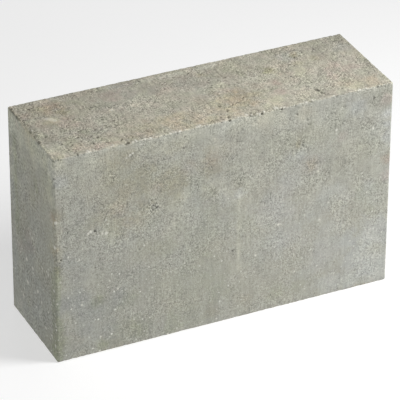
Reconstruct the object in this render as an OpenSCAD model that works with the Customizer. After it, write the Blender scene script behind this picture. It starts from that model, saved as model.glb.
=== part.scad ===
// Solid block of dense concrete, cast and tamped in one piece in a block machine.
// It stands on its bed face: X is its length, Y the thickness of the wall that it
// builds, and Z the height of one course. The origin is the centre of the bed face.

/* [Block] */
// Length along the wall
block_length = 380; // [200:1:600]
// Thickness of the wall that it builds
block_thickness = 120; // [60:1:300]
// Height of one course, without its mortar
block_height = 240; // [100:1:300]

/* [Arrises] */
// Radius of the four upright arrises, left by the corners of the mould box
mould_corner_r = 2; // [1:0.5:10]
// Radius of the arris round the top, where the tamper shoe presses the mix
tamped_arris_r = 1.5; // [0.5:0.5:8]
// Radius of the arris round the bed face, which forms against the pallet
pallet_arris_r = 1; // [0.5:0.5:8]

/* [Hidden] */
concrete_grey = "#A5A499";
// Faces of a full circle, so that every arris is a true arc
$fn = 64;

// Upright panel that is centred on X and stands on the X axis. Its two lower corners
// have the radius low_r and its two upper corners have the radius high_r.
module panel(width, height, low_r, high_r) {
    half = width / 2;
    polygon([
        [-half, low_r], [-half + low_r, 0], [half - low_r, 0], [half, low_r],
        [half, height - high_r], [half - high_r, height],
        [-half + high_r, height], [-half, height - high_r]
    ]);
    for (side = [-1, 1]) {
        translate([side * (half - low_r), low_r]) circle(low_r);
        translate([side * (half - high_r), height - high_r]) circle(high_r);
    }
}

// Outline of the mould box, seen from above
module mould_outline() {
    translate([0, -block_thickness / 2])
        panel(block_length, block_thickness, mould_corner_r, mould_corner_r);
}

// The mould box gives the block its upright faces. The pallet below and the tamper
// shoe above round off its long arrises, then those at its ends.
module block() {
    color(concrete_grey)
    intersection() {
        linear_extrude(block_height) mould_outline();
        rotate([90, 0, 90])
            linear_extrude(block_length, center = true)
            panel(block_thickness, block_height, pallet_arris_r, tamped_arris_r);
        rotate([90, 0, 0])
            linear_extrude(block_thickness, center = true)
            panel(block_length, block_height, pallet_arris_r, tamped_arris_r);
    }
}

block();
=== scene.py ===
import math
import random

import bmesh
import bpy
from mathutils import Matrix, Quaternion, Vector, kdtree, noise


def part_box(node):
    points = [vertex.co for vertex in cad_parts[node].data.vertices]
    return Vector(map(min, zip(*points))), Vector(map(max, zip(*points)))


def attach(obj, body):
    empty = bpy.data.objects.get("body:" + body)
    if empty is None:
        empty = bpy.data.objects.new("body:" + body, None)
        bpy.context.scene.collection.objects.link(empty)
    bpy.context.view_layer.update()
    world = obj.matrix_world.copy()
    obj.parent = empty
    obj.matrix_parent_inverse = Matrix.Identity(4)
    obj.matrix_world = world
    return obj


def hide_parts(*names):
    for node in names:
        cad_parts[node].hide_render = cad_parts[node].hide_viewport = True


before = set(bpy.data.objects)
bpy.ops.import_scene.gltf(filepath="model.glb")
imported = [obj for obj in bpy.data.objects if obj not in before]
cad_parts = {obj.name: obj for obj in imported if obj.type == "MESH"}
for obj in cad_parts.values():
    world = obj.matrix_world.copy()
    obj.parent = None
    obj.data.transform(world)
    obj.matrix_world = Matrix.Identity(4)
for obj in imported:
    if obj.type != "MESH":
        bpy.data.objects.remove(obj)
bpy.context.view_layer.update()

# --- The block ---
# One solid of dense concrete: sand, fine gravel and cement, pressed damp into a steel
# mould, shaken, tamped from above and pushed out onto a pallet. The mould leaves close
# faces and round upright arrises, and the tamper leaves the top open and rough.
mm = 0.001
low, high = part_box("block")
size = high - low
middle = (low + high) / 2
mould_corner_r = 2 * mm
tamped_arris_r = 1.5 * mm
pallet_arris_r = 1 * mm
face_cell = 3.6 * mm
border_cell = face_cell / 2
top_cell = face_cell / 3
arris_cell = face_cell / 4
pit_cell = face_cell / 6
core_depth = 6 * mm
draw = random.Random(24)


def ramp(value, start, end):
    """Rises smoothly from 0 at start to 1 at end."""
    share = min(max((value - start) / (end - start), 0), 1)
    return share * share * (3 - 2 * share)


def arris_gap(point):
    """How far a point on the skin is from the nearest arris."""
    return sorted(size[i] / 2 - abs(point[i] - middle[i]) for i in range(3))[1]


def below_top(point):
    return high.z - point.z


def bevel(edges, radius, segments):
    bmesh.ops.bevel(
        body, geom=edges, offset=radius, offset_type="OFFSET", segments=segments,
        profile=0.5, affect="EDGES", material=-1,
    )


body = bmesh.new()
bmesh.ops.create_cube(body, size=1, matrix=Matrix.LocRotScale(middle, None, size))
upright = [e for e in body.edges if abs(e.verts[0].co.z - e.verts[1].co.z) > mm]
bevel(upright, mould_corner_r, 4)
for level, radius, segments in ((high.z, tamped_arris_r, 3), (low.z, pallet_arris_r, 2)):
    rim = [e for e in body.edges if all(abs(v.co.z - level) < mm / 10 for v in e.verts)]
    bevel(rim, radius, segments)

# The skin is cut into small cells, so that it can take its relief.
first_cut = 3 * mm
for axis in range(3):
    across = Vector((0, 0, 0))
    across[axis] = 1
    span = size[axis] - 2 * first_cut
    cells = round(span / face_cell)
    for cut in range(cells + 1):
        place = across * (low[axis] + first_cut + span * cut / cells)
        everything = body.verts[:] + body.edges[:] + body.faces[:]
        bmesh.ops.bisect_plane(body, geom=everything, dist=mm / 1000, plane_co=place, plane_no=across)


# Places on the skin, in mm from the middle of the bed.
def on_front(x, z):
    return Vector((x * mm, low.y, low.z + z * mm))


def on_back(x, z):
    return Vector((x * mm, high.y, low.z + z * mm))


def on_left(y, z):
    return Vector((low.x, y * mm, low.z + z * mm))


def on_right(y, z):
    return Vector((high.x, y * mm, low.z + z * mm))


def on_top(x, y):
    return Vector((x * mm, y * mm, high.z))


def on_bed(x, y):
    return Vector((x * mm, y * mm, low.z))


def row(start, end, spacing):
    """Places in a straight row, this many mm apart."""
    steps = max(round((end - start).length / (spacing * mm)), 1)
    return [start.lerp(end, step / steps) for step in range(steps + 1)]


def uneven(value):
    return value * draw.uniform(0.55, 1.3)


# Lips of paste that stand whole along the top arrises, where it squeezed past the tamper.
lips = []
for start, end in (
    (-186, -178), (-154, -144), (-97, -90), (-87, -72), (-68, -54), (-48, -40), (-35, -26),
    (-22, -15), (78, 86),
):
    lips += row(on_top(start, -60), on_top(end, -60), 1)
for start, end in ((-28, -34), (-38, -58)):
    lips += row(on_left(start, 240), on_left(end, 240), 1)

# Scoops are where a grain, a crumb or a bubble was: the place, reach and depth in mm.
scoops = []


def groove(corners, spacing, reach, depth):
    """A ragged, broken line of scoops through these corners."""
    for start, end in zip(corners, corners[1:]):
        for place in row(start, end, spacing):
            astray = Vector([draw.uniform(-0.5, 0.5) for axis in range(3)]) * reach * mm
            scoops.append((place + astray, uneven(reach), uneven(depth)))


# Undercut lines below the lips and along the broken arrises.
for start, end in ((-188, -182), (-166, -158), (-98, -92), (72, 77), (142, 150), (170, 180)):
    groove([on_front(start, 238.8), on_front(end, 238.8)], 1.5, 1.5, 0.9)
groove([on_left(58, 239.8), on_left(44, 239.4), on_left(30, 239.8)], 1.8, 1.8, 1.0)
groove([on_top(-188.5, 28), on_top(-187.5, 16)], 2.4, 1.7, 0.9)
groove([on_left(-42, 237.8), on_left(-59, 237.5)], 1.6, 1.4, 0.8)

# On the top: a short crack near the front arris, and the edge of a flake that has lifted.
groove([on_top(109.5, -36), on_top(111.5, -43), on_top(112, -48)], 1.5, 2.2, 1.9)
groove([on_top(113, -49), on_top(117, -52), on_top(122, -55)], 1.5, 1.7, 1.3)
groove([on_top(36, -22), on_top(33, -26)], 1.5, 1.9, 1.5)
groove([on_top(31, -28), on_top(22, -32), on_top(12, -36)], 1.3, 1.4, 1.1)
# A short crack on the front.
groove([on_front(72, 193), on_front(82, 192), on_front(90, 187)], 1.3, 1.2, 0.7)

# Single deep ones, on the top and then on the front and the left.
scoops += [
    (on_top(5, -30), 2.3, 1.5), (on_top(9, -41), 1.9, 1.2), (on_top(0, -45), 1.9, 1.2),
    (on_top(-4, -43), 1.4, 1), (on_top(-3, -51), 1.9, 1.3), (on_top(4, -53), 2, 1.4),
    (on_top(-9, -54), 1.8, 1.2), (on_top(-14, -56), 1.7, 1.1), (on_top(93, -59), 1.5, 1),
    (on_top(122, -55), 1.4, 0.9), (on_top(118, 36), 1.8, 1.1), (on_top(121, 32), 2.2, 1.4),
    (on_top(122, 28), 1.8, 1.1), (on_top(86, 20), 2.2, 1.2), (on_top(90, 17), 1.7, 1),
    (on_top(-109, -59), 2.6, 1.8), (on_top(-112, -50), 2.2, 1.4), (on_top(-128, -48), 1.9, 1.2),
    (on_top(-128, -20), 2.2, 1.4), (on_top(-137, -31), 1.9, 1.2), (on_top(-132, -36), 2.3, 1.4),
    (on_top(-150, -28), 2.2, 1.3), (on_top(-161, -39), 1.9, 1.2), (on_top(-142, -17), 1.9, 1.1),
    (on_top(-104, -12), 2.2, 1.3), (on_top(-97, -4), 2.1, 1.2), (on_top(-112, 0), 2, 1.1),
    (on_top(-114, -5), 1.8, 1), (on_top(-108, -24), 2, 1.2), (on_top(-187, 33), 1.8, 1.1),
    (on_front(-111, 239), 2, 1.5), (on_front(-6, 239.5), 1.4, 1), (on_front(3, 239.2), 2.3, 1.9),
    (on_front(27, 239), 2.1, 1.6), (on_front(39, 238.6), 2.4, 2), (on_front(47, 239.5), 1.5, 0.7),
    (on_front(61, 239), 2.2, 1.7), (on_front(65, 239.5), 1.4, 1), (on_front(86, 239.5), 1.6, 1.1),
    (on_front(-84, 167), 1.5, 0.8), (on_front(-82, 155), 1.6, 0.9), (on_front(-86, 161), 1.2, 0.7),
    (on_front(7.5, 83), 1.6, 1.2), (on_front(-184, 122), 1.7, 1.2), (on_front(79, 228), 1.7, 1),
    (on_front(168, 226), 1.8, 1.1), (on_front(87, 199), 1.3, 0.5), (on_front(90, 194), 1.2, 0.5),
    (on_front(83, 195), 1.2, 0.5), (on_front(-18, 160), 1.6, 0.5), (on_front(15, 166), 1.3, 0.6),
    (on_front(-49, 104), 1.3, 0.9), (on_front(113, 153), 1.3, 0.5), (on_front(-146.5, 146.5), 2, 1.4),
    (on_left(-20, 239), 3, 2), (on_left(-57, 237.5), 2, 1.2),
]

# Pale stones of the gravel that lie in the skin: the place, the reach in mm and the paleness.
stones = [
    (on_front(-151, 147.5), 2.4, 1), (on_front(-153.5, 146), 2, 0.8), (on_front(-134, 141.5), 2.4, 1),
    (on_front(-138, 142), 1.8, 0.8), (on_front(-142, 141), 1.5, 0.6), (on_front(-134, 157), 1.4, 0.9),
    (on_front(-107, 225.5), 1.8, 0.9), (on_front(-104, 227), 1.5, 0.9), (on_front(-111, 223), 1.4, 0.6),
    (on_front(-95, 235), 1.6, 0.6), (on_front(34, 71), 1.8, 0.9), (on_front(60, 102), 1.8, 1),
    (on_front(80, 39), 1.5, 0.9), (on_front(-41, 97), 1.4, 0.8), (on_front(-122, 72), 1.7, 0.9),
    (on_front(-164, 117), 1.4, 0.8), (on_front(-131, 84), 1.4, 0.8), (on_front(-104, 30), 1.4, 0.8),
    (on_front(-142, 19), 1.6, 0.9), (on_front(-47, 83), 1.3, 0.7), (on_front(108, 96), 1.4, 0.8),
    (on_front(-87, 89), 1.3, 0.7), (on_front(145, 60), 1.3, 0.6), (on_front(168, 81), 1.3, 0.6),
    (on_front(-143, 2), 1.8, 0.9), (on_front(-66, 1.5), 1.5, 0.9), (on_front(36.5, 238), 1.5, 0.9),
    (on_left(-57, 43), 2, 0.8), (on_left(-55, 18), 2.2, 1), (on_top(-97, 8), 1.8, 0.9),
    (on_left(18, 81), 2.8, 1), (on_left(2, 79), 2.6, 0.9), (on_left(-25, 94), 2, 0.9),
    (on_left(17, 54), 2.8, 1), (on_left(-10, 58), 2.6, 0.9), (on_left(-20, 50), 2.4, 0.8),
    (on_left(-40, 95), 2, 0.9), (on_left(1, 116), 2.4, 0.8), (on_left(-58, 138), 2.6, 1),
    (on_left(30, 30), 2.4, 0.8), (on_left(-30, 25), 2.4, 0.9), (on_front(-189, 167), 2.6, 1),
    (on_front(-189, 71), 1.6, 0.9), (on_front(-185, 96), 1.8, 0.5), (on_front(-162, 63), 1.5, 0.9),
    (on_front(125, 199), 2, 0.8), (on_front(125, 195), 1.6, 0.5), (on_front(168, 191), 1.8, 0.8),
    (on_front(157, 140), 1.5, 0.7), (on_front(157, 136), 1.3, 0.6), (on_front(163, 115), 1.5, 0.8),
    (on_front(118, 114), 1.6, 0.6), (on_top(-186, 4), 1.6, 0.7), (on_top(-185, -6), 1.4, 0.5),
    (on_top(97, -58), 1.7, 0.9), (on_top(-160, 16), 4, 0.6), (on_top(-163, 18.5), 3.5, 0.55),
    (on_top(-158, 13), 3.5, 0.55),
]

# Crumbs on the front top arris: pale grains that still hold, and gaps between them.
for start, end, count in (
    (-152, -145, 5), (-128, -124, 2), (-104, -96, 4), (-95, -80, 6), (-72, -36, 9),
    (-34, -22, 9), (12, 24, 6), (24, 42, 7), (52, 66, 9), (74, 102, 10), (118, 188, 6),
):
    for number in range(count):
        x, drop = draw.uniform(start, end), draw.uniform(0, 2.5)
        stones.append((on_top(x, -60 + drop), draw.uniform(0.8, 2), draw.uniform(0.45, 1)))
        x, drop = draw.uniform(start, end), draw.uniform(0, 2)
        scoops.append((on_front(x, 240 - drop), draw.uniform(0.8, 1.6), draw.uniform(0.4, 1)))

# The many small ones: thick where the shoe lifted the grain, thin on the mould faces.
for number in range(90):
    place = on_top(draw.gauss(-125, 26), max(-58, draw.gauss(-24, 20)))
    scoops.append((place, draw.uniform(1, 1.8), draw.uniform(0.45, 0.9)))
for number in range(110):
    place = on_top(draw.uniform(-187, 187), draw.uniform(-57, 57))
    scoops.append((place, draw.uniform(0.9, 1.6), draw.uniform(0.4, 0.8)))
for number in range(40):
    place = on_top(draw.uniform(90, 187), draw.uniform(-57, -10))
    scoops.append((place, draw.uniform(0.8, 1.2), draw.uniform(0.5, 0.9)))
for on_face, half_width in ((on_front, 185), (on_back, 185), (on_left, 55), (on_right, 55)):
    for number in range(half_width // 7):
        place = on_face(draw.uniform(-half_width, half_width), 240 * draw.random() ** 0.6)
        scoops.append((place, draw.uniform(0.8, 1.4), draw.uniform(0.4, 0.9)))


def rough(point, cell, layer):
    """Smooth noise from -1 to 1 with lumps about one cell wide, different in each layer."""
    return noise.noise(point / cell + layer * Vector((3.7, 11.9, 5.3)))


def tree_of(places):
    tree = kdtree.KDTree(len(places))
    for number, place in enumerate(places):
        tree.insert(place, number)
    tree.balance()
    return tree


# Spots where the skin tore and the coarse grain shows: the place and the reach in mm.
torn_spots = [
    (on_front(-82, 158), 13), (on_front(-127, 207), 7), (on_front(30, 199), 8),
    (on_front(87, 196), 8), (on_front(160, 194), 8), (on_front(98, 165), 10),
    (on_front(-17, 160), 9), (on_front(15, 165), 8), (on_front(115, 152), 7),
    (on_front(-20, 194), 8), (on_back(90, 180), 10), (on_back(-60, 205), 9), (on_back(-130, 120), 7),
    (on_right(-20, 190), 9), (on_right(30, 60), 7), (on_left(0, 112), 8),
]
# Smears where the shoe or the mould dragged the wet paste smooth over the grain.
sleek_spots = [
    (on_top(-122, 36), 22), (on_top(-76, 36), 26), (on_top(-45, 30), 20), (on_top(-12, 4), 18),
    (on_top(3, 20), 14), (on_top(82, -10), 15), (on_top(78, -30), 13), (on_top(-162, 15), 8),
    (on_top(110, 5), 13), (on_top(150, 36), 24), (on_top(176, 22), 14), (on_top(-35, -20), 14),
    (on_top(62, -38), 14), (on_front(-95, 60), 26), (on_front(0, 45), 60), (on_front(120, 30), 50),
    (on_front(-160, 30), 26), (on_front(45, 222), 16), (on_front(95, 225), 16),
    (on_front(150, 218), 26), (on_front(168, 150), 24), (on_front(-30, 225), 16),
    (on_front(100, 85), 30), (on_back(40, 60), 50), (on_back(-120, 190), 30), (on_right(10, 120), 30),
]
sleek_tree = tree_of([spot[0] for spot in sleek_spots])
scoop_tree = tree_of([scoop[0] for scoop in scoops])
stone_tree = tree_of([stone[0] for stone in stones])
torn_tree = tree_of([spot[0] for spot in torn_spots])
lip_tree = tree_of(lips)
widest_scoop = max(scoop[1] for scoop in scoops) * mm


def nearest(tree, marks, point, core):
    """The nearest mark's share of a point: 1 within its core, 0 past its reach."""
    place, number, distance = tree.find(point)
    reach = marks[number][1] * mm
    return 1 - ramp(distance, core * reach, reach)


def torn(point):
    return nearest(torn_tree, torn_spots, point, 0.3)


def stony(point):
    return nearest(stone_tree, stones, point, 0.5)


def paleness(point):
    return stones[stone_tree.find(point)[1]][2]


def sleek(point):
    """1 in the middle of a smear, 0 past its ragged edge."""
    return nearest(sleek_tree, sleek_spots, point, 0.4) * ramp(rough(point, 9 * mm, 12), -0.5, 0.2)


def lipped(point):
    return 1 - ramp(lip_tree.find(point)[2], 0.9 * mm, 2 * mm)


def scooped(point, spread=0):
    """How deep the scoops go here, the deepest where they meet."""
    depth = 0
    for place, number, distance in scoop_tree.find_range(point, widest_scoop + spread):
        reach = scoops[number][1] * mm + spread
        depth = max(depth, scoops[number][2] * mm * (1 - ramp(distance, 0.2 * reach, reach)))
    return depth


def ribbed(point):
    """A scratch in the mould wall leaves one fine upright rib on the front."""
    if point.y > low.y + mm:
        return 0
    height = (point.z - low.z) / mm
    along = ramp(height, 55, 75) * (1 - ramp(height, 150, 157))
    return 0.6 * along * (1 - ramp(abs(point.x - 14.5 * mm), 0.5 * mm, 1.6 * mm))


def refine(cell, parts, wanted):
    """Cuts the edges that are longer than the cell into parts, where finer relief is wanted."""
    long = [
        e for e in body.edges
        if e.calc_length() > 1.3 * cell and wanted((e.verts[0].co + e.verts[1].co) / 2)
    ]
    bmesh.ops.subdivide_edges(body, edges=long, cuts=parts - 1, use_grid_fill=True)


def on_the_top(point):
    return below_top(point) < mm / 10 and arris_gap(point) > first_cut


def detailed(point):
    spread = 1.2 * mm
    near_stone = stone_tree.find(point)[2] < 3.4 * mm
    return scooped(point, spread) > 0.02 * mm or near_stone or ribbed(point) > 0 or lipped(point) > 0


refine(border_cell, 2, lambda point: not on_the_top(point) and arris_gap(point) < 5 * mm)
refine(top_cell, 3, on_the_top)
refine(border_cell, 2, lambda point: torn(point) > 0 or detailed(point))
refine(arris_cell, 2, lambda point: arris_gap(point) < 2.5 * mm or detailed(point))
refine(pit_cell, 2, detailed)
# A cut that stops at an uncut cell leaves a point that joins nothing. These points go, and a
# cell without width is cut down, because both would turn into folded slivers.
bmesh.ops.dissolve_verts(body, verts=[v for v in body.verts if len(v.link_edges) == 2])
bmesh.ops.dissolve_degenerate(body, dist=mm / 1000, edges=body.edges[:])


# The relief only takes concrete away, so the block never outgrows its mould.
def moulded(point):
    """Close faces: long low waves, and faint upright drag marks from the stripping."""
    drag_point = Vector((point.x, point.y, point.z / 12))
    waves = 0.05 * (1 + rough(point, 35 * mm, 1))
    drag = 0.03 * (1 + rough(drag_point, 4 * mm, 2))
    return (0.05 + waves + drag) * mm


def open_grain(point):
    """Lumps of grit with hollows between them, and many small pits."""
    lumps = 0.25 * abs(rough(point, 10 * mm, 3)) + 0.25 * abs(rough(point, 4 * mm, 4))
    pits = 0.5 * ramp(rough(point, 2.2 * mm, 5), 0.15, 0.5)
    return (lumps + pits) * mm


def tamped(point):
    """The top: the tamper shoe's low waves under open grain."""
    return 0.15 * mm * (1 + rough(point, 50 * mm, 7)) + open_grain(point)


def rubbed(point):
    """Lifting has rubbed one stretch of the left top arris round: 1 on it, 0 past its reach."""
    along = point.y / mm
    stretch = ramp(along, -18, -6) * (1 - ramp(along, 18, 34))
    away = math.hypot(point.x - low.x, below_top(point))
    return stretch * (1 - ramp(away, 0, 6 * mm))


def crumbled(point):
    """The arrises have lost grains: most along the top front and left, least up the sides."""
    if below_top(point) < 4 * mm:
        handled = min(point.x - low.x, point.y - low.y) < 5 * mm
        share, reach = (1 if handled else 0.4), 2.6 * mm
    elif point.z - low.z < 4 * mm:
        share, reach = 0.6, 2 * mm
    else:
        share, reach = 0.35, 2 * mm
    lost = 0.8 * ramp(rough(point, 5 * mm, 8), 0, 0.55) + 0.25 * (1 + rough(point, 2 * mm, 9))
    return share * lost * mm * (1 - ramp(arris_gap(point), 0, reach))


def open_here(point, normal):
    """The open top skin ends in a ragged line, at times over the arris and at times short of it."""
    over = (2.2 * rough(point, 8 * mm, 10) + 1.2 * rough(point, 3 * mm, 11) + 0.2) * mm
    over += 8 * mm * rubbed(point)
    if normal.z < 0.5:
        return ramp(over - below_top(point), -0.8 * mm, 0.8 * mm) * (below_top(point) < 8 * mm)
    return ramp(over + arris_gap(point), -0.4 * mm, 0.4 * mm)


def inward(point):
    """Straight in from a face, and on the slant beside an arris, so that its two sides never meet."""
    core = [min(max(point[i], low[i] + core_depth), high[i] - core_depth) for i in range(3)]
    return (Vector(core) - point).normalized()


body.normal_update()
hollow_shade_layer = body.verts.layers.float.new("hollow_shade")
open_skin = body.verts.layers.float.new("open_grain")
torn_skin = body.verts.layers.float.new("torn")
bare = body.verts.layers.float.new("worn")
stone = body.verts.layers.float.new("stone")
smeared = body.verts.layers.float.new("sleek")
end_wall = body.verts.layers.float.new("end_wall")
for vert in body.verts:
    point, normal = vert.co.copy(), vert.normal.copy()
    top_share = open_here(point, normal)
    bed_share = ramp(-normal.z, 0.2, 0.8)
    spot, lip, grain, lost = torn(point), lipped(point), stony(point), scooped(point)
    smooth = sleek(point) * (1 - spot)
    close = moulded(point) * (1 - top_share) * (1 - ribbed(point))
    relief = tamped(point) * top_share * (1 - 0.5 * smooth)
    relief += open_grain(point) * max(0.6 * spot, 0.25 * bed_share)
    relief = (relief + crumbled(point)) * (1 - 0.85 * max(lip, grain)) + lost * (1 - grain)
    vert.co = point + inward(point) * (close + relief + 1.2 * mm * rubbed(point))
    # Painted shade: the deeper the relief cuts in here, the darker the skin is painted.
    vert[hollow_shade_layer] = ramp(relief, 0.25 * mm, 1.4 * mm)
    vert[open_skin] = max(top_share, 0.4 * bed_share)
    vert[torn_skin] = spot
    vert[bare] = max(0.35 * (1 - ramp(arris_gap(point), 0, 3 * mm)), lip, ribbed(point))
    vert[stone] = grain * paleness(point)
    vert[smeared] = smooth
    vert[end_wall] = ramp(abs(normal.x), 0.3, 0.8)
# The cells are split into triangles once the relief is in.
bmesh.ops.triangulate(body, faces=body.faces[:])
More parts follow.
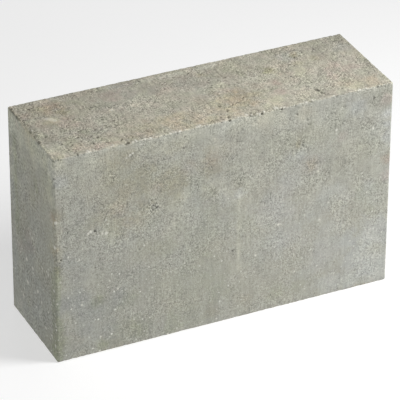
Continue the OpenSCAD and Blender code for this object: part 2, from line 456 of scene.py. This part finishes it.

# Stains, each a place, a reach in mm and a strength: clay, straw and rust from the sand, rose
# from brick grit, slate and olive where the paste lay wet, soot where dirt rubbed in, and
# lime and bloom where it dried pale. Along the top of the left end the lime is painted light.
stains = {
    "clay": [
        (on_front(-130, 212), 26, 0.3), (on_front(-100, 190), 34, 0.9), (on_front(-60, 188), 28, 0.8),
        (on_front(-20, 192), 22, 0.6), (on_front(-130, 172), 22, 0.4), (on_front(-150, 155), 12, 0.5),
        (on_front(22, 20), 14, 0.4), (on_front(-15, 14), 12, 0.5), (on_front(81, 192), 7, 1),
        (on_front(98, 165), 10, 0.6), (on_front(-189, 172), 11, 0.8), (on_front(-189, 135), 9, 0.6),
        (on_front(187, 150), 9, 0.6), (on_front(-128, 146), 14, 0.4), (on_front(-118, 152), 24, 0.5),
        (on_front(-115, 222), 22, 0.5), (on_left(-50, 135), 12, 0.6), (on_left(20, 232), 10, 0.3),
        (on_top(-162, 38), 20, 0.6), (on_top(-144, 27), 15, 0.8), (on_top(-160, 24), 8, 0.6),
        (on_top(-75, -47), 10, 0.4), (on_top(30, -20), 20, 0.4), (on_top(20, -45), 12, 0.4),
        (on_top(122, 36), 7, 1), (on_top(33, -12), 18, 0.5), (on_top(5, -28), 14, 0.4),
        (on_top(35, -35), 14, 0.4),
    ],
    "rust": [
        (on_front(-103, 150), 16, 0.6), (on_front(98, 165), 12, 0.3), (on_front(-190, 135), 7, 0.8),
        (on_front(-190, 172), 6, 0.6), (on_front(40, 228), 18, 0.3), (on_front(90, 228), 12, 0.4),
        (on_front(-15, 202), 26, 0.28), (on_left(8, 232), 12, 0.5), (on_left(-55, 165), 8, 0.8),
        (on_left(-53, 130), 10, 0.8), (on_top(-142, 42), 16, 0.6), (on_top(-172, 14), 14, 0.3),
        (on_top(-160, 16), 6, 1), (on_top(-75, -38), 20, 0.5), (on_top(-50, -38), 22, 1),
        (on_top(-28, -42), 14, 0.5), (on_top(12, -42), 16, 0.8), (on_top(42, -22), 14, 0.8),
        (on_top(150, -45), 20, 0.4), (on_top(172, -45), 14, 0.7), (on_top(125, 40), 9, 1),
        (on_top(15, 36), 8, 0.7), (on_top(12, -17), 10, 0.8), (on_top(25, -25), 26, 0.9),
        (on_top(5, -38), 16, 0.6),
    ],
    "rose": [
        (on_front(98, 165), 12, 0.35), (on_front(184, 222), 10, 1), (on_front(186, 150), 9, 1),
        (on_front(186, 130), 8, 0.8), (on_front(133, 192), 8, 0.7), (on_front(-15, 200), 12, 0.4),
        (on_front(-40, 195), 12, 0.4), (on_front(-75, 180), 10, 0.5), (on_front(-125, 165), 14, 0.5),
        (on_front(60, 125), 34, 0.15), (on_front(75, 80), 34, 0.1), (on_front(125, 100), 28, 0.1),
        (on_front(110, 50), 30, 0.1), (on_left(35, 232), 10, 0.7), (on_left(-55, 172), 8, 0.6),
        (on_left(10, 112), 16, 0.6), (on_left(0, 165), 42, 0.15), (on_top(-150, 0), 20, 0.8),
        (on_top(-150, 42), 18, 1), (on_top(-85, 34), 16, 0.8), (on_top(-30, 28), 16, 0.4),
        (on_top(-172, 14), 14, 0.3), (on_top(152, 0), 16, 1), (on_top(138, -20), 10, 0.8),
        (on_top(160, -12), 14, 1), (on_top(92, 5), 8, 0.9), (on_top(82, -12), 9, 1),
        (on_top(75, -28), 9, 1), (on_top(-150, -50), 14, 0.6), (on_top(-100, -42), 12, 0.4),
        (on_top(35, -5), 12, 0.6), (on_top(-180, 30), 10, 0.5),
    ],
    "slate": [
        (on_front(-172, 150), 22, 0.4), (on_front(-170, 110), 24, 0.6), (on_front(-165, 70), 26, 0.9),
        (on_front(-162, 38), 28, 0.9), (on_front(-122, 62), 14, 0.8), (on_front(-130, 30), 18, 0.6),
        (on_front(145, 28), 26, 0.3), (on_front(150, 222), 14, 0.5), (on_front(-140, 48), 20, 0.6),
        (on_front(-180, 70), 20, 1), (on_front(-165, 100), 20, 0.8), (on_front(-175, 15), 20, 0.8),
        (on_left(10, 100), 26, 0.5), (on_left(-10, 60), 34, 0.5), (on_left(-35, 35), 26, 0.6),
        (on_left(-20, 105), 16, 0.4), (on_top(-70, 35), 16, 0.4), (on_top(-38, 33), 16, 0.7),
        (on_top(-8, 32), 18, 0.4), (on_top(110, 38), 14, 0.5), (on_top(150, 38), 20, 0.4),
        (on_top(178, 30), 18, 0.8), (on_top(174, 12), 14, 0.5), (on_top(110, 14), 14, 0.25),
        (on_top(125, -30), 9, 0.4), (on_top(3, 7), 14, 0.6),
    ],
    "olive": [
        (on_front(-188, 80), 9, 1), (on_front(-188, 50), 9, 1), (on_front(-188, 20), 12, 1),
        (on_front(-140, 10), 12, 0.8), (on_front(60, 18), 14, 0.4), (on_front(85, 22), 10, 0.3),
        (on_front(-60, 14), 16, 0.5), (on_front(-143, 63), 13, 0.7), (on_front(-110, 55), 14, 0.4),
        (on_front(-100, 15), 18, 0.5), (on_front(160, 170), 20, 0.2), (on_front(165, 110), 20, 0.3),
        (on_front(-20, 130), 24, 0.3), (on_front(-65, 110), 20, 0.3), (on_front(-60, 62), 30, 0.2),
        (on_front(-15, 48), 26, 0.4), (on_left(-54, 10), 14, 1), (on_left(-12, 185), 9, 0.6),
        (on_top(-122, 38), 12, 0.3), (on_top(-145, 23), 9, 0.5), (on_top(84, 17), 10, 0.9),
        (on_top(55, 22), 10, 0.4), (on_top(62, -42), 14, 0.3), (on_top(120, 17), 10, 0.5),
        (on_top(-140, -22), 12, 0.3), (on_top(-178, -18), 14, 0.3), (on_top(50, 40), 24, 0.3),
    ],
    "soot": [
        (on_front(115, 152), 14, 0.5), (on_front(88, 196), 9, 0.4), (on_front(-17, 160), 8, 0.6),
        (on_front(160, 180), 26, 0.4), (on_front(140, 190), 16, 0.3), (on_front(180, 233), 16, 0.9),
        (on_front(184, 220), 12, 0.9), (on_front(15, 166), 6, 0.6), (on_front(168, 222), 9, 0.5),
        (on_front(150, 218), 14, 0.3), (on_front(75, 230), 7, 0.4), (on_front(188, 150), 9, 0.4),
        (on_front(-85, 50), 30, 0.15), (on_front(-138, 80), 20, 0.3), (on_front(-112, 85), 26, 0.25),
        (on_front(-143, 63), 8, 0.5), (on_front(158, 192), 17, 0.6), (on_front(-95, 16), 26, 0.25),
        (on_front(150, 220), 14, 0.55), (on_front(10, 220), 24, 0.3), (on_front(160, 230), 14, 0.75),
        (on_front(140, 231), 12, 0.4), (on_front(-80, 230), 10, 0.4), (on_front(100, 190), 12, 0.4),
        (on_front(50, 40), 16, 0.15), (on_front(-160, 16), 12, 0.15), (on_front(-55, 70), 16, 0.2),
        (on_front(-125, 14), 14, 0.4), (on_front(-20, 15), 15, 0.18), (on_front(-125, 102), 17, 0.18),
        (on_front(139, 170), 12, 0.5), (on_front(120, 148), 11, 0.3), (on_front(-140, 190), 11, 0.25),
        (on_front(-100, 130), 10, 0.25), (on_front(158, 158), 22, 0.3), (on_front(175, 130), 15, 0.25),
        (on_front(85, 160), 12, 0.15), (on_front(-125, 190), 14, 0.15), (on_front(125, 162), 30, 0.55),
        (on_front(-55, 35), 30, 0.2), (on_left(20, 115), 12, 0.8), (on_left(56, 115), 8, 0.5),
        (on_left(-55, 15), 10, 0.5), (on_left(-44, 75), 16, 0.35), (on_left(-5, 195), 12, 0.25),
        (on_left(-5, 15), 14, 0.35), (on_left(15, 132), 12, 0.25), (on_left(-30, 135), 13, 0.4),
        (on_left(-30, 80), 20, 0.35), (on_left(30, 112), 22, 0.45), (on_left(20, 45), 14, 0.25),
        (on_left(-25, 15), 16, 0.2), (on_left(20, 136), 12, 0.2), (on_top(-150, 25), 6, 0.8),
        (on_top(-142, 23), 9, 0.8), (on_top(-135, 21), 5, 0.6), (on_top(-138, -30), 8, 0.3),
        (on_top(122, 32), 7, 1), (on_top(8, -28), 6, 0.4), (on_top(50, 22), 6, 0.5),
        (on_top(-182, 35), 10, 0.4), (on_top(155, 30), 24, 0.5), (on_top(112, 32), 14, 0.35),
        (on_top(15, 35), 8, 0.3), (on_top(-188, 25), 8, 0.5), (on_top(80, -8), 9, 0.7),
        (on_top(-88, 40), 14, 0.45), (on_top(-10, 43), 12, 0.3), (on_top(30, 43), 14, 0.4),
        (on_top(-55, 43), 12, 0.25), (on_top(-120, 13), 12, 0.4), (on_top(-132, 13), 16, 0.55),
        (on_top(-80, 23), 11, 0.5), (on_top(141, 22), 9, 0.5), (on_top(120, 23), 9, 0.5),
        (on_top(162, -8), 9, 0.4), (on_top(100, -28), 9, 0.35), (on_top(120, -38), 9, 0.3),
        (on_top(-100, 32), 9, 0.3), (on_top(98, 31), 12, 0.35), (on_top(-20, 22), 10, 0.4),
        (on_top(-21, -10), 8, 0.2), (on_top(176, -42), 12, 0.4), (on_top(148, -27), 13, 0.35),
        (on_top(-184, -46), 8, 0.2), (on_top(160, -15), 14, 0.3), (on_top(-98, -38), 9, 0.3),
        (on_top(-90, -15), 12, 0.15), (on_top(-170, 12), 20, 0.4),
    ],
    "lime_and_painted_light": [
        (on_front(81, 181), 9, 0.35), (on_front(-60, 228), 14, 0.4), (on_front(45, 225), 16, 0.2),
        (on_front(85, 225), 12, 0.2), (on_front(-52, 152), 22, 0.35), (on_front(-120, 168), 14, 0.5),
        (on_front(-125, 132), 15, 0.25), (on_front(-22, 162), 15, 0.35),
        (on_front(-125, 222), 12, 0.15), (on_front(-90, 160), 12, 0.12), (on_front(15, 130), 14, 0.2),
        (on_front(150, 130), 14, 0.2), (on_front(-162, 40), 14, 0.15), (on_front(178, 14), 14, 0.2),
        (on_front(20, 148), 14, 0.3), (on_front(-183, 233), 8, 0.5), (on_front(172, 45), 34, 0.2),
        (on_front(150, 15), 20, 0.3), (on_left(46, 165), 15, 0.65), (on_left(-52, 136), 10, 0.3),
        # Painted light: these marks make the upper part of the left end lighter towards its top.
        (on_left(-49, 212), 14, 1), (on_left(50, 228), 26, 1), (on_left(25, 235), 22, 1),
        (on_left(0, 232), 24, 1), (on_left(-25, 232), 22, 0.9), (on_left(-45, 228), 24, 1),
        (on_left(46, 194), 16, 0.8), (on_left(-47, 195), 18, 0.75), (on_left(-50, 165), 12, 0.15),
        (on_left(-10, 212), 20, 0.5), (on_left(20, 195), 18, 0.3), (on_left(22, 168), 16, 0.15),
        (on_left(-5, 165), 12, 0.12), (on_left(40, 10), 14, 0.4), (on_left(0, 10), 12, 0.3),
        (on_top(18, -17), 9, 0.6), (on_top(-184, -6), 10, 0.4), (on_top(120, 17), 10, 0.3),
        (on_top(-160, 16), 7, 0.8), (on_top(-97, 8), 6, 1), (on_top(-70, 8), 12, 0.4),
        (on_top(-40, 8), 12, 0.3), (on_top(-178, -50), 14, 0.7), (on_top(-155, 38), 14, 0.25),
        (on_top(-60, 2), 9, 0.2), (on_top(9, -18), 13, 0.35), (on_top(-8, -40), 12, 0.4),
        (on_top(147, -47), 13, 0.4), (on_top(-50, -46), 12, 0.25), (on_top(60, -45), 14, 0.7),
        (on_top(97, -42), 14, 0.7), (on_top(112, 0), 12, 0.6), (on_top(27, 9), 10, 0.6),
        (on_top(-75, -33), 8, 0.3), (on_top(-160, 54), 12, 0.4), (on_top(-100, 3), 12, 0.2),
    ],
    "straw": [
        (on_front(-90, 148), 26, 0.4), (on_front(-92, 110), 20, 0.3), (on_front(120, 220), 14, 0.4),
        (on_front(15, 172), 18, 0.3), (on_front(-20, 15), 14, 0.3), (on_front(-162, 150), 16, 0.3),
        (on_front(-118, 22), 20, 0.6), (on_front(-130, 150), 22, 0.6), (on_front(20, 110), 18, 0.5),
        (on_front(125, 112), 14, 0.4), (on_left(-45, 205), 26, 0.7), (on_left(20, 192), 16, 0.5),
        (on_left(-5, 165), 18, 0.5), (on_left(-5, 225), 16, 0.5), (on_left(34, 226), 24, 0.4),
        (on_top(84, 15), 10, 1), (on_top(140, 22), 11, 0.8), (on_top(-8, -15), 13, 0.4),
        (on_top(110, -45), 13, 0.4), (on_top(-60, -28), 11, 0.8), (on_top(-160, -38), 18, 0.8),
        (on_top(-160, 40), 12, 0.8), (on_top(-100, -53), 9, 0.9), (on_top(-160, 14), 10, 1),
        (on_top(-125, -40), 20, 0.5), (on_top(-180, -57), 7, 0.8),
    ],
    "bloom": [
        (on_front(172, 62), 30, 1), (on_front(174, 25), 34, 1), (on_front(145, 12), 22, 0.7),
        (on_front(188, 180), 14, 0.7), (on_front(189, 60), 12, 1), (on_front(165, 110), 20, 0.4),
        (on_front(184, 205), 7, 0.9), (on_front(184, 192), 7, 0.9), (on_front(150, 222), 15, 0.7),
        (on_front(125, 120), 24, 0.4), (on_front(75, 150), 18, 0.4), (on_front(42, 120), 16, 0.4),
        (on_front(140, 60), 16, 0.8), (on_front(110, 40), 26, 0.4), (on_front(81, 181), 9, 0.75),
        (on_front(-183, 214), 12, 0.7), (on_front(0, 235), 14, 0.3), (on_front(150, 35), 26, 1),
        (on_front(125, 15), 22, 0.9), (on_front(184, 15), 14, 1), (on_front(185, 55), 14, 1),
        (on_front(186, 175), 9, 1), (on_front(15, 150), 9, 1), (on_front(-35, 162), 16, 0.35),
        (on_front(-5, 150), 14, 0.4), (on_front(55, 120), 34, 0.5), (on_front(70, 85), 34, 0.5),
        (on_front(120, 60), 30, 0.6), (on_left(56, 200), 6, 0.8), (on_left(57, 172), 6, 0.7),
        (on_left(-50, 226), 14, 0.5), (on_left(32, 226), 24, 0.4), (on_left(56, 150), 6, 0.7),
        (on_left(30, 80), 14, 0.2), (on_left(42, 12), 20, 0.6), (on_left(30, 15), 30, 0.6),
        (on_left(0, 20), 30, 0.5), (on_left(20, 45), 24, 0.4), (on_top(60, 8), 12, 0.3),
        (on_top(180, 28), 15, 0.4), (on_top(112, 34), 16, 0.6),
    ],
}
# Stains that run on in a row: the start and the end, the spacing in mm, and the reach and the
# strength of each mark.
for pigment, start, end, spacing, reach, strength in (
    # the top
    ("rust", on_top(-25, -50), on_top(15, -52), 5, 9, 0.8),
    ("rose", on_top(-162, -51), on_top(-118, -55), 4, 7, 0.8),
    ("slate", on_top(70, 44), on_top(160, 44), 9, 12, 0.4),
    ("soot", on_top(-185, 37), on_top(50, 37), 5, 12, 0.28),
    ("soot", on_top(-185, 26), on_top(60, 26), 4, 10, 0.4),
    ("soot", on_top(150, 50), on_top(185, 45), 8, 20, 0.65),
    ("soot", on_top(-112, 52), on_top(-62, 52), 4, 6, 0.35),
    ("soot", on_top(105, 46), on_top(150, 46), 8, 12, 0.35),
    ("soot", on_top(185, 50), on_top(185, -48), 5, 9, 0.55),
    ("lime_and_painted_light", on_top(-165, -48), on_top(-120, -50), 8, 12, 0.35),
    ("lime_and_painted_light", on_top(-85, -53), on_top(-20, -55), 4, 6, 0.35),
    ("lime_and_painted_light", on_top(-44, 51), on_top(38, 51), 3, 4, 0.4),
    ("lime_and_painted_light", on_top(12, -37), on_top(26, -34), 2, 2.5, 0.8),
    ("bloom", on_top(-80, 51), on_top(38, 51), 4, 5, 0.7),
    # the front
    ("clay", on_front(-150, 200), on_front(-70, 205), 20, 30, 0.3),
    ("clay", on_front(-189, 110), on_front(-189, 165), 4, 7, 0.6),
    ("rust", on_front(-130, 222), on_front(-55, 222), 10, 14, 0.2),
    ("olive", on_front(-45, 25), on_front(-25, 110), 20, 34, 0.25),
    ("olive", on_front(-189, 5), on_front(-189, 112), 4, 8, 0.8),
    ("soot", on_front(-25, 193), on_front(150, 190), 12, 24, 0.25),
    ("lime_and_painted_light", on_front(30, 140), on_front(30, 65), 12, 16, 0.15),
    ("lime_and_painted_light", on_front(-145, 233), on_front(60, 233), 8, 14, 0.35),
    ("lime_and_painted_light", on_front(14.5, 60), on_front(14.5, 145), 2, 3.5, 0.4),
    ("straw", on_front(-115, 205), on_front(-35, 172), 16, 28, 0.5),
    ("straw", on_front(55, 198), on_front(122, 202), 14, 22, 0.5),
    ("straw", on_front(-180, 222), on_front(-20, 222), 10, 14, 0.25),
    # the left end
    ("rose", on_left(38, 84), on_left(-2, 106), 5, 9, 0.5),
    ("olive", on_left(-54, 8), on_left(-54, 96), 5, 11, 0.7),
    ("olive", on_left(42, 105), on_left(42, 212), 4, 8, 0.6),
    ("soot", on_left(30, 96), on_left(4, 105), 4, 9, 0.4),
    ("soot", on_left(-55, 28), on_left(-54, 82), 6, 10, 0.5),
    # Painted light: two rows that lighten the top band of the left end.
    ("lime_and_painted_light", on_left(50, 224), on_left(-50, 222), 8, 15, 0.9),
    ("lime_and_painted_light", on_left(55, 233), on_left(-56, 233), 5, 10, 0.9),
    ("bloom", on_left(50, 30), on_left(50, 225), 6, 9, 0.5),
):
    stains[pigment] += [(place, reach, strength) for place in row(start, end, spacing)]

# The back, the right end and the bed have stains of their own.
for marks in stains.values():
    for on_face, half_x, half_y, count in (
        (on_back, 185, 120, 9), (on_right, 55, 120, 4), (on_bed, 185, 55, 5),
    ):
        for number in range(count):
            x, y = draw.uniform(-half_x, half_x), draw.uniform(-half_y, half_y)
            place = on_face(x, y + 120 if half_y == 120 else y)
            marks.append((place, draw.uniform(10, 34), draw.uniform(0.2, 0.6)))


def round_the_arris(place, spot):
    """A stain fades faster round an arris, unless it was put on the arris itself."""
    if arris_gap(place) < 3 * mm:
        return 0
    across = min(range(3), key=lambda axis: size[axis] / 2 - abs(place[axis] - middle[axis]))
    return 2 * abs(spot[across] - place[across])


body.verts.ensure_lookup_table()
skin_tree = tree_of([vert.co for vert in body.verts])
for number, (pigment, marks) in enumerate(stains.items()):
    layer = body.verts.layers.float.new(pigment)
    for place, reach, strength in marks:
        for spot, index, distance in skin_tree.find_range(place, 1.6 * reach * mm):
            vert = body.verts[index]
            distance += round_the_arris(place, spot)
            outline = rough(spot, 14 * mm, 20 + number) + 0.6 * rough(spot, 5 * mm, 30 + number)
            ragged = distance * max(1 + 0.9 * outline, 0.65)
            share = strength * (1 - ramp(ragged, 0.3 * reach * mm, reach * mm))
            vert[layer] = max(vert[layer], share)

mesh = bpy.data.meshes.new("cast_block")
body.to_mesh(mesh)
body.free()
cast_block = bpy.data.objects.new("cast_block", mesh)
bpy.context.scene.collection.objects.link(cast_block)
for face in mesh.polygons:
    face.use_smooth = True

# Cement paste, grey with a little yellow-green, over pale and dark sand.
concrete = bpy.data.materials.new("concrete")
concrete.use_nodes = True
nodes = concrete.node_tree.nodes
links = concrete.node_tree.links
surface = nodes["Principled BSDF"]
spot_of_skin = nodes.new("ShaderNodeTexCoord").outputs["Object"]


def wire(value, socket):
    """Sets a socket to a number or a colour, or links it to another node's output."""
    if isinstance(value, bpy.types.NodeSocket):
        links.new(value, socket)
    else:
        socket.default_value = value


def mottle(cell, detail, squeeze=(1, 1, 1)):
    """Noise from 0 to 1 with blotches about one cell wide, longer along an axis squeezed less."""
    place = nodes.new("ShaderNodeMapping")
    place.inputs["Scale"].default_value = squeeze
    links.new(spot_of_skin, place.inputs["Vector"])
    field = nodes.new("ShaderNodeTexNoise")
    links.new(place.outputs["Vector"], field.inputs["Vector"])
    field.inputs["Scale"].default_value = 1 / cell
    field.inputs["Detail"].default_value = detail
    return field.outputs["Fac"]


def reshape(value, start, end, out_start=0, out_end=1):
    """Maps a value from one range to another, and holds it there."""
    node = nodes.new("ShaderNodeMapRange")
    wire(value, node.inputs["Value"])
    for name, number in (
        ("From Min", start), ("From Max", end), ("To Min", out_start), ("To Max", out_end),
    ):
        wire(number, node.inputs[name])
    return node.outputs["Result"]


def sum_of(kind, first, second):
    node = nodes.new("ShaderNodeMath")
    node.operation = kind
    wire(first, node.inputs[0])
    wire(second, node.inputs[1])
    return node.outputs["Value"]


def colour_mix(kind, share, first, second):
    node = nodes.new("ShaderNodeMix")
    node.data_type = "RGBA"
    node.blend_type = kind
    wire(share, node.inputs["Factor"])
    wire(first, node.inputs[6])
    wire(second, node.inputs[7])
    return node.outputs[2]


def of_skin(name):
    node = nodes.new("ShaderNodeAttribute")
    node.attribute_name = name
    return node.outputs["Fac"]


def grit(cell, part, radius, turned):
    """Rounded grains: a part of the cells holds one, with this radius in cells."""
    place = nodes.new("ShaderNodeMapping")
    place.inputs["Rotation"].default_value = (turned, turned, 0)
    links.new(spot_of_skin, place.inputs["Vector"])
    cells = nodes.new("ShaderNodeTexVoronoi")
    links.new(place.outputs["Vector"], cells.inputs["Vector"])
    cells.inputs["Scale"].default_value = 1 / cell
    lot = nodes.new("ShaderNodeSeparateColor")
    links.new(cells.outputs["Color"], lot.inputs["Color"])
    grain_size = reshape(lot.outputs["Green"], 0, 1, 0.5 * radius, radius)
    inside = sum_of("SUBTRACT", grain_size, cells.outputs["Distance"])
    held = sum_of("LESS_THAN", lot.outputs["Red"], part)
    held = sum_of("MULTIPLY", held, reshape(lot.outputs["Blue"], 0, 1, 0.4, 1))
    return sum_of("MULTIPLY", held, reshape(inside, 0, 0.25 * radius))


open_share = of_skin("open_grain")
colour = colour_mix(
    "MIX", reshape(mottle(45 * mm, 3), 0.35, 0.65), (0.343, 0.345, 0.304, 1), (0.352, 0.348, 0.295, 1)
)
# The open top is tinted warmer and lighter: partly the tamped skin's own colour, partly painted light that
# brightens the top against the close faces.
colour = colour_mix("MULTIPLY", open_share, colour, (1.152, 1.102, 1.041, 1))
colour = colour_mix("MULTIPLY", of_skin("end_wall"), colour, (0.990, 1.001, 0.992, 1))

# The sand's own colours drift from reddish to greenish, most in the open top.
drift = mottle(15 * mm, 3)
strong = reshape(open_share, 0, 1, 0.2, 1)
reddish = sum_of("MULTIPLY", reshape(drift, 0.5, 0.62), strong)
greenish = sum_of("MULTIPLY", reshape(drift, 0.38, 0.5, 1, 0), strong)
colour = colour_mix("MULTIPLY", reddish, colour, (1.022, 0.992, 0.998, 1))
colour = colour_mix("MULTIPLY", greenish, colour, (0.984, 1.006, 0.975, 1))

# The stains' pigments. Clay, rust, rose and olive soak into some grains more than into others.
soaked = reshape(mottle(6 * mm, 3), 0.3, 0.7, 0.55, 1.45)
for pigment, tint in (
    ("clay", (0.87, 0.84, 0.775, 1)), ("rust", (1.06, 1.00, 0.93, 1)), ("rose", (1.05, 0.97, 0.99, 1)),
    ("slate", (0.86, 0.875, 0.91, 1)), ("olive", (0.84, 0.875, 0.77, 1)), ("straw", (1.00, 1.00, 0.93, 1)),
    ("soot", (0.78, 0.78, 0.77, 1)), ("lime_and_painted_light", (1.30, 1.30, 1.235, 1)), ("bloom", (1.08, 1.10, 1.18, 1)),
):
    share = of_skin(pigment)
    if pigment in ("clay", "rust", "rose", "olive"):
        share = sum_of("MULTIPLY", share, soaked)
    colour = colour_mix("MULTIPLY", share, colour, tint)

# Light and dark from the size of one grain up to whole clouds: the cell in mm, the swing on
# the close faces and on the open top, and the part of it that the end walls have. Some
# zones are coarse and some are fine. To the right the finest grain grows stronger on the
# open top and a little weaker on the close faces.
along = nodes.new("ShaderNodeSeparateXYZ")
links.new(spot_of_skin, along.inputs["Vector"])
up_the_face = reshape(along.outputs["Z"], low.z + 0.4 * size.z, low.z + 0.7 * size.z, 0.92, 1.02)
to_the_left = reshape(along.outputs["X"], low.x + 0.15 * size.x, low.x + 0.5 * size.x, 1.06, 0.98)
coarse = sum_of("MULTIPLY", reshape(mottle(26 * mm, 2), 0.38, 0.62, 0.65, 1.35), up_the_face)
coarse = sum_of("MULTIPLY", coarse, to_the_left)
coarse = sum_of("ADD", coarse, sum_of("MULTIPLY", of_skin("torn"), 0.8))
coarse = sum_of("MULTIPLY", coarse, reshape(of_skin("sleek"), 0, 1, 1.05, 0.5))
calm = reshape(along.outputs["Z"], low.z + 0.4 * size.z, low.z + 0.65 * size.z, 0.5, 1)
finer = sum_of(
    "MULTIPLY", reshape(along.outputs["X"], middle.x + 0.1 * size.x, middle.x + 0.35 * size.x),
    reshape(open_share, 0, 1, -0.1, 0.22),
)
tone = 1.0
layers = []
for cell, skin_swing, open_swing, end_part in (
    (1.3, 0.34, 0.61, 0.3), (2.6, 0.42, 0.31, 1.4), (6, 0.22, 0.15, 0.8),
    (14, 0.17, 0.16, 0.4), (35, 0.13, 0.16, 0.4),
):
    swing = reshape(open_share, 0, 1, skin_swing, open_swing)
    swing = sum_of("MULTIPLY", swing, coarse if cell < 10 else calm)
    swing = sum_of("MULTIPLY", swing, reshape(of_skin("end_wall"), 0, 1, 1, end_part))
    if cell < 2:
        swing = sum_of("MULTIPLY", swing, sum_of("ADD", finer, 1.0))
    layers.append(sum_of("MULTIPLY", reshape(mottle(cell * mm, 1), 0.25, 0.75, -0.5, 0.5), swing))
    tone = sum_of("ADD", layers[-1], tone)
drag = reshape(mottle(3 * mm, 1, (1, 1, 0.07)), 0.35, 0.65, -0.05, 0.05)
comb = reshape(mottle(2.4 * mm, 1, (1, 0.15, 1)), 0.35, 0.65, -0.09, 0.09)
drag = sum_of("MULTIPLY", drag, reshape(of_skin("end_wall"), 0, 1, 1, 0.5))
tone = sum_of("ADD", tone, sum_of("MULTIPLY", drag, reshape(open_share, 0, 1, 1, 0)))
tone = sum_of("ADD", tone, sum_of("MULTIPLY", comb, open_share))
# Painted shade: the hollows of the relief are painted darker, down to half the tone.
tone = sum_of("MULTIPLY", tone, reshape(of_skin("hollow_shade"), 0, 1, 1.04, 0.50))
tone = sum_of("MULTIPLY", tone, reshape(of_skin("worn"), 0, 1, 1, 1.14))
toned = nodes.new("ShaderNodeVectorMath")
toned.operation = "SCALE"
links.new(colour, toned.inputs[0])
links.new(tone, toned.inputs["Scale"])

# Grains of sand that show in the skin. The white ones show most low down and to the left,
# where the fall into the mould packed them.
low_down = reshape(along.outputs["Z"], low.z + 0.75 * size.z, low.z + 0.3 * size.z, 0.2, 1)
leftward = reshape(along.outputs["X"], low.x + 0.2 * size.x, low.x + 0.6 * size.x, 1, 0.55)
pale_sand = grit(5 * mm, 0.5, 0.26, 0.4)
dark_sand = grit(6 * mm, 0.4, 0.22, 1.1)
dark_sand = sum_of("MULTIPLY", dark_sand, reshape(of_skin("end_wall"), 0, 1, 1, 0.4))
white_sand = sum_of("MULTIPLY", grit(5.2 * mm, 0.42, 0.24, 2.3), leftward)
end_sand = sum_of("MULTIPLY", grit(8 * mm, 0.45, 0.26, 0.8), of_skin("end_wall"))
white_sand = sum_of("MULTIPLY", sum_of("MAXIMUM", white_sand, end_sand), low_down)
colour = toned.outputs["Vector"]
colour = colour_mix("MIX", sum_of("MULTIPLY", pale_sand, 0.5), colour, (0.58, 0.57, 0.50, 1))
colour = colour_mix("MIX", sum_of("MULTIPLY", dark_sand, 0.5), colour, (0.16, 0.15, 0.13, 1))
colour = colour_mix("MIX", white_sand, colour, (0.70, 0.70, 0.64, 1))
colour = colour_mix("MIX", sum_of("MULTIPLY", of_skin("stone"), 0.85), colour, (0.66, 0.65, 0.58, 1))
links.new(colour, surface.inputs["Base Color"])
links.new(reshape(mottle(5 * mm, 2), 0.3, 0.7, 0.84, 0.96), surface.inputs["Roughness"])

pores = sum_of("MULTIPLY", sum_of("ADD", layers[0], layers[1]), 0.9)
pores = sum_of("ADD", pores, sum_of("MULTIPLY", pale_sand, 0.3))
pores = sum_of("SUBTRACT", pores, sum_of("MULTIPLY", dark_sand, 0.5))
bump = nodes.new("ShaderNodeBump")
bump.inputs["Strength"].default_value = 0.6
bump.inputs["Distance"].default_value = 0.7 * mm
links.new(pores, bump.inputs["Height"])
links.new(bump.outputs["Normal"], surface.inputs["Normal"])

mesh.materials.append(concrete)
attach(cast_block, "root")
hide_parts("block")

# --- Floor ---
# A plain white studio floor, wide enough to fill the view of a camera that looks down on
# the block. It glows a little itself, so that the shadow on it stays faint.
floor_mesh = bpy.data.meshes.new("floor")
floor_shape = bmesh.new()
bmesh.ops.create_grid(floor_shape, x_segments=1, y_segments=1, size=12)
floor_shape.to_mesh(floor_mesh)
floor_shape.free()
floor = bpy.data.objects.new("floor", floor_mesh)
bpy.context.scene.collection.objects.link(floor)
floor_paint = bpy.data.materials.new("floor_paint")
floor_paint.use_nodes = True
floor_finish = floor_paint.node_tree.nodes["Principled BSDF"].inputs
floor_finish["Base Color"].default_value = (0.6, 0.6, 0.6, 1)
floor_finish["Roughness"].default_value = 0.8
floor_finish["Emission Color"].default_value = (1, 1, 1, 1)
floor_finish["Emission Strength"].default_value = 0.45
floor_mesh.materials.append(floor_paint)

# --- Light ---
# A low even sky for fill, a soft key lamp at the front right, a weak one over the left
# end and another behind. The lamps themselves are out of sight.
world = bpy.data.worlds.new("studio")
world.use_nodes = True
sky = world.node_tree.nodes["Background"]
sky.inputs["Color"].default_value = (1, 1, 1, 1)
sky.inputs["Strength"].default_value = 0.2
bpy.context.scene.world = world


def lamp(name, place, width, watts):
    lamp_data = bpy.data.lights.new(name, "AREA")
    lamp_data.shape = "DISK"
    lamp_data.size = width
    lamp_data.energy = watts
    bulb = bpy.data.objects.new(name, lamp_data)
    bulb.location = place
    bulb.rotation_euler = (middle - bulb.location).to_track_quat("-Z", "Y").to_euler()
    bulb.visible_camera = False
    bpy.context.scene.collection.objects.link(bulb)


lamp("key", (0.75, -0.5, 0.9), 0.5, 13.7)
lamp("fill", (-0.7, -0.4, 1.1), 0.9, 3.6)
lamp("back", (0.4, 1.6, 0.3), 0.5, 2.8)
bpy.context.scene.view_settings.view_transform = "Standard"

# --- Camera ---
# Stands off to the left of the front and looks down on the block through a long lens.
turn = math.radians(-25.403)
height = math.radians(30.945)
tilt = math.radians(0.305)
stand_off = 3.179
aim = middle + Vector((-2.3, -1.8, -4.4)) * mm
back = Vector((math.sin(turn) * math.cos(height), -math.cos(turn) * math.cos(height), math.sin(height)))
camera_data = bpy.data.cameras.new("camera")
camera_data.sensor_width = 36
camera_data.lens = 274.9
camera = bpy.data.objects.new("camera", camera_data)
camera.rotation_mode = "QUATERNION"
camera.rotation_quaternion = (-back).to_track_quat("-Z", "Y") @ Quaternion((0, 0, 1), tilt)
camera.location = aim + back * stand_off
camera_data.clip_end = 60
bpy.context.scene.collection.objects.link(camera)
bpy.context.scene.camera = camera
